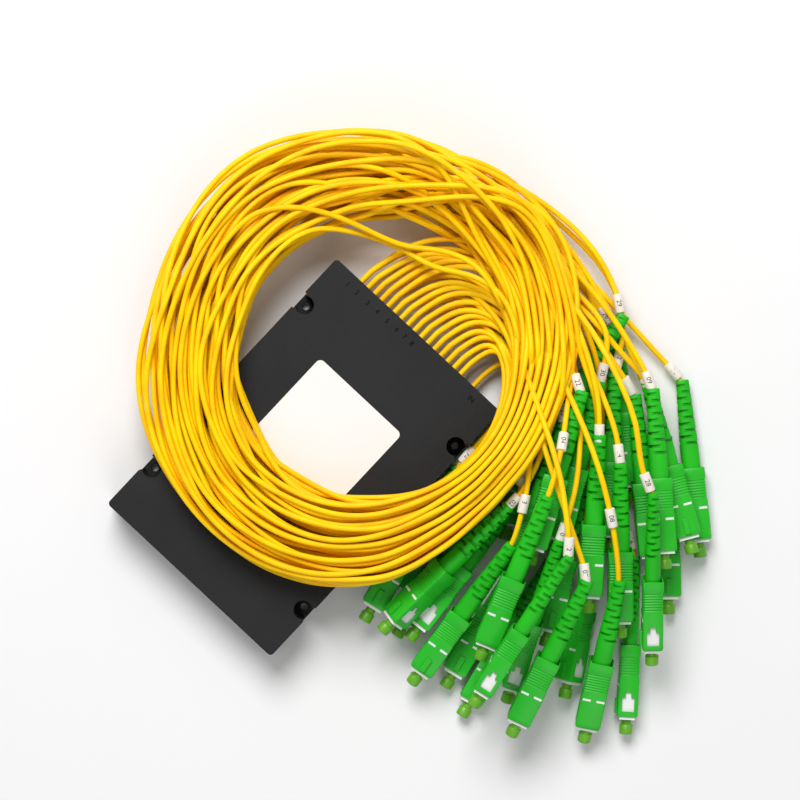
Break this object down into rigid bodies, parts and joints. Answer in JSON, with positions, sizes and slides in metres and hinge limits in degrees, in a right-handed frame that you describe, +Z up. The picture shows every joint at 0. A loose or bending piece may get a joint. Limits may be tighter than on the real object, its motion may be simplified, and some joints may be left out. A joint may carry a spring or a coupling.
{
  "type": "plc fibre splitter",
  "caption": "Flat black cassette splitter with a loose coil of yellow fibre pigtails ending in a heap of green push-pull plugs with dust caps.",
  "frame": {"origin": "middle of the cassette's bottom face", "axes": "+Y along the cassette towards the end with the cables, +Z up from the bottom to the label"},
  "size_m": [0.248, 0.1881, 0.0449],
  "materials": {
    "black_abs": "fine grain",
    "label_paper": "satin paper",
    "foam": "foam",
    "steel": "brushed",
    "rubber": "soft",
    "fibre_coating": "smooth",
    "yellow_jacket": "semi-gloss",
    "green_boot": "soft matt",
    "green_plastic": "moulded",
    "green_cap": "translucent",
    "white_plastic": "moulded",
    "ceramic": "polished"
  },
  "bodies": {
    "splitter": {"base_shell": "black_abs", "lid": "black_abs", "label_sticker": "label_paper", "lower_comb": "black_abs", "upper_comb": "black_abs", "cable_clamp": "black_abs", "module_pad": "foam", "splitter_module": "steel", "module_end_plugs": "rubber", "ribbon_fan": "fibre_coating", "input_fibre": "fibre_coating", "fan_out": "yellow_jacket", "fan_out_bundle": "yellow_jacket", "cable_coil": "yellow_jacket", "tail_jackets": "yellow_jacket", "boots": "green_boot", "plug_frames": "white_plastic", "ferrules": "ceramic", "spare_grips": "green_plastic", "spare_caps": "green_cap"},
    "grip_01": {"grip_01": "green_plastic"},
    "dust_cap_01": {"dust_cap_01": "green_cap"},
    "grip_02": {"grip_02": "green_plastic"},
    "dust_cap_02": {"dust_cap_02": "green_cap"},
    "grip_03": {"grip_03": "green_plastic"},
    "dust_cap_03": {"dust_cap_03": "green_cap"},
    "grip_31": {"grip_31": "green_plastic"},
    "dust_cap_31": {"dust_cap_31": "green_cap"},
    "grip_04": {"grip_04": "green_plastic"},
    "dust_cap_04": {"dust_cap_04": "green_cap"},
    "grip_12": {"grip_12": "green_plastic"},
    "dust_cap_12": {"dust_cap_12": "green_cap"},
    "grip_10": {"grip_10": "green_plastic"},
    "dust_cap_10": {"dust_cap_10": "green_cap"},
    "grip_05": {"grip_05": "green_plastic"},
    "dust_cap_05": {"dust_cap_05": "green_cap"},
    "grip_06": {"grip_06": "green_plastic"},
    "dust_cap_06": {"dust_cap_06": "green_cap"},
    "grip_07": {"grip_07": "green_plastic"},
    "dust_cap_07": {"dust_cap_07": "green_cap"},
    "grip_08": {"grip_08": "green_plastic"},
    "dust_cap_08": {"dust_cap_08": "green_cap"},
    "grip_16": {"grip_16": "green_plastic"},
    "dust_cap_16": {"dust_cap_16": "green_cap"},
    "grip_28": {"grip_28": "green_plastic"},
    "dust_cap_28": {"dust_cap_28": "green_cap"},
    "grip_13": {"grip_13": "green_plastic"},
    "dust_cap_13": {"dust_cap_13": "green_cap"},
    "grip_15": {"grip_15": "green_plastic"},
    "dust_cap_15": {"dust_cap_15": "green_cap"},
    "grip_17": {"grip_17": "green_plastic"},
    "dust_cap_17": {"dust_cap_17": "green_cap"},
    "grip_19": {"grip_19": "green_plastic"},
    "dust_cap_19": {"dust_cap_19": "green_cap"},
    "grip_20": {"grip_20": "green_plastic"},
    "dust_cap_20": {"dust_cap_20": "green_cap"}
  },
  "joints": [
    {"name": "slide_grip_01", "type": "slide", "parent": "splitter", "child": "grip_01", "axis": [0.0872, -0.9962, 0], "range_m": [-0.002, 0]},
    {"name": "pull_dust_cap_01", "type": "slide", "parent": "splitter", "child": "dust_cap_01", "axis": [0.0872, -0.9962, 0], "range_m": [0, 0.008]},
    {"name": "slide_grip_02", "type": "slide", "parent": "splitter", "child": "grip_02", "axis": [-0.0346, -0.9919, -0.1219], "range_m": [-0.002, 0]},
    {"name": "pull_dust_cap_02", "type": "slide", "parent": "splitter", "child": "dust_cap_02", "axis": [-0.0346, -0.9919, -0.1219], "range_m": [0, 0.008]},
    {"name": "slide_grip_03", "type": "slide", "parent": "splitter", "child": "grip_03", "axis": [0.1564, -0.9877, 0], "range_m": [-0.002, 0]},
    {"name": "pull_dust_cap_03", "type": "slide", "parent": "splitter", "child": "dust_cap_03", "axis": [0.1564, -0.9877, 0], "range_m": [0, 0.008]},
    {"name": "slide_grip_31", "type": "slide", "parent": "splitter", "child": "grip_31", "axis": [0.1338, -0.9519, -0.2756], "range_m": [-0.002, 0]},
    {"name": "pull_dust_cap_31", "type": "slide", "parent": "splitter", "child": "dust_cap_31", "axis": [0.1338, -0.9519, -0.2756], "range_m": [0, 0.008]},
    {"name": "slide_grip_04", "type": "slide", "parent": "splitter", "child": "grip_04", "axis": [0.3505, -0.9132, -0.2079], "range_m": [-0.002, 0]},
    {"name": "pull_dust_cap_04", "type": "slide", "parent": "splitter", "child": "dust_cap_04", "axis": [0.3505, -0.9132, -0.2079], "range_m": [0, 0.008]},
    {"name": "slide_grip_12", "type": "slide", "parent": "splitter", "child": "grip_12", "axis": [0.1873, -0.9636, -0.1908], "range_m": [-0.002, 0]},
    {"name": "pull_dust_cap_12", "type": "slide", "parent": "splitter", "child": "dust_cap_12", "axis": [0.1873, -0.9636, -0.1908], "range_m": [0, 0.008]},
    {"name": "slide_grip_10", "type": "slide", "parent": "splitter", "child": "grip_10", "axis": [0.4214, -0.864, -0.2756], "range_m": [-0.002, 0]},
    {"name": "pull_dust_cap_10", "type": "slide", "parent": "splitter", "child": "dust_cap_10", "axis": [0.4214, -0.864, -0.2756], "range_m": [0, 0.008]},
    {"name": "slide_grip_05", "type": "slide", "parent": "splitter", "child": "grip_05", "axis": [0.225, -0.9744, 0], "range_m": [-0.002, 0]},
    {"name": "pull_dust_cap_05", "type": "slide", "parent": "splitter", "child": "dust_cap_05", "axis": [0.225, -0.9744, 0], "range_m": [0, 0.008]},
    {"name": "slide_grip_06", "type": "slide", "parent": "splitter", "child": "grip_06", "axis": [0.2079, -0.9781, 0], "range_m": [-0.002, 0]},
    {"name": "pull_dust_cap_06", "type": "slide", "parent": "splitter", "child": "dust_cap_06", "axis": [0.2079, -0.9781, 0], "range_m": [0, 0.008]},
    {"name": "slide_grip_07", "type": "slide", "parent": "splitter", "child": "grip_07", "axis": [0.2985, -0.9187, -0.2588], "range_m": [-0.002, 0]},
    {"name": "pull_dust_cap_07", "type": "slide", "parent": "splitter", "child": "dust_cap_07", "axis": [0.2985, -0.9187, -0.2588], "range_m": [0, 0.008]},
    {"name": "slide_grip_08", "type": "slide", "parent": "splitter", "child": "grip_08", "axis": [0.498, -0.7969, -0.342], "range_m": [-0.002, 0]},
    {"name": "pull_dust_cap_08", "type": "slide", "parent": "splitter", "child": "dust_cap_08", "axis": [0.498, -0.7969, -0.342], "range_m": [0, 0.008]},
    {"name": "slide_grip_16", "type": "slide", "parent": "splitter", "child": "grip_16", "axis": [0.6428, -0.766, 0], "range_m": [-0.002, 0]},
    {"name": "pull_dust_cap_16", "type": "slide", "parent": "splitter", "child": "dust_cap_16", "axis": [0.6428, -0.766, 0], "range_m": [0, 0.008]},
    {"name": "slide_grip_28", "type": "slide", "parent": "splitter", "child": "grip_28", "axis": [0.6677, -0.6915, -0.2756], "range_m": [-0.002, 0]},
    {"name": "pull_dust_cap_28", "type": "slide", "parent": "splitter", "child": "dust_cap_28", "axis": [0.6677, -0.6915, -0.2756], "range_m": [0, 0.008]},
    {"name": "slide_grip_13", "type": "slide", "parent": "splitter", "child": "grip_13", "axis": [0.848, -0.5299, 0], "range_m": [-0.002, 0]},
    {"name": "pull_dust_cap_13", "type": "slide", "parent": "splitter", "child": "dust_cap_13", "axis": [0.848, -0.5299, 0], "range_m": [0, 0.008]},
    {"name": "slide_grip_15", "type": "slide", "parent": "splitter", "child": "grip_15", "axis": [0.6349, -0.7566, -0.1564], "range_m": [-0.002, 0]},
    {"name": "pull_dust_cap_15", "type": "slide", "parent": "splitter", "child": "dust_cap_15", "axis": [0.6349, -0.7566, -0.1564], "range_m": [0, 0.008]},
    {"name": "slide_grip_17", "type": "slide", "parent": "splitter", "child": "grip_17", "axis": [0.5, -0.866, 0], "range_m": [-0.002, 0]},
    {"name": "pull_dust_cap_17", "type": "slide", "parent": "splitter", "child": "dust_cap_17", "axis": [0.5, -0.866, 0], "range_m": [0, 0.008]},
    {"name": "slide_grip_19", "type": "slide", "parent": "splitter", "child": "grip_19", "axis": [0.5299, -0.848, 0], "range_m": [-0.002, 0]},
    {"name": "pull_dust_cap_19", "type": "slide", "parent": "splitter", "child": "dust_cap_19", "axis": [0.5299, -0.848, 0], "range_m": [0, 0.008]},
    {"name": "slide_grip_20", "type": "slide", "parent": "splitter", "child": "grip_20", "axis": [0.6947, -0.7193, 0], "range_m": [-0.002, 0]},
    {"name": "pull_dust_cap_20", "type": "slide", "parent": "splitter", "child": "dust_cap_20", "axis": [0.6947, -0.7193, 0], "range_m": [0, 0.008]}
  ]
}
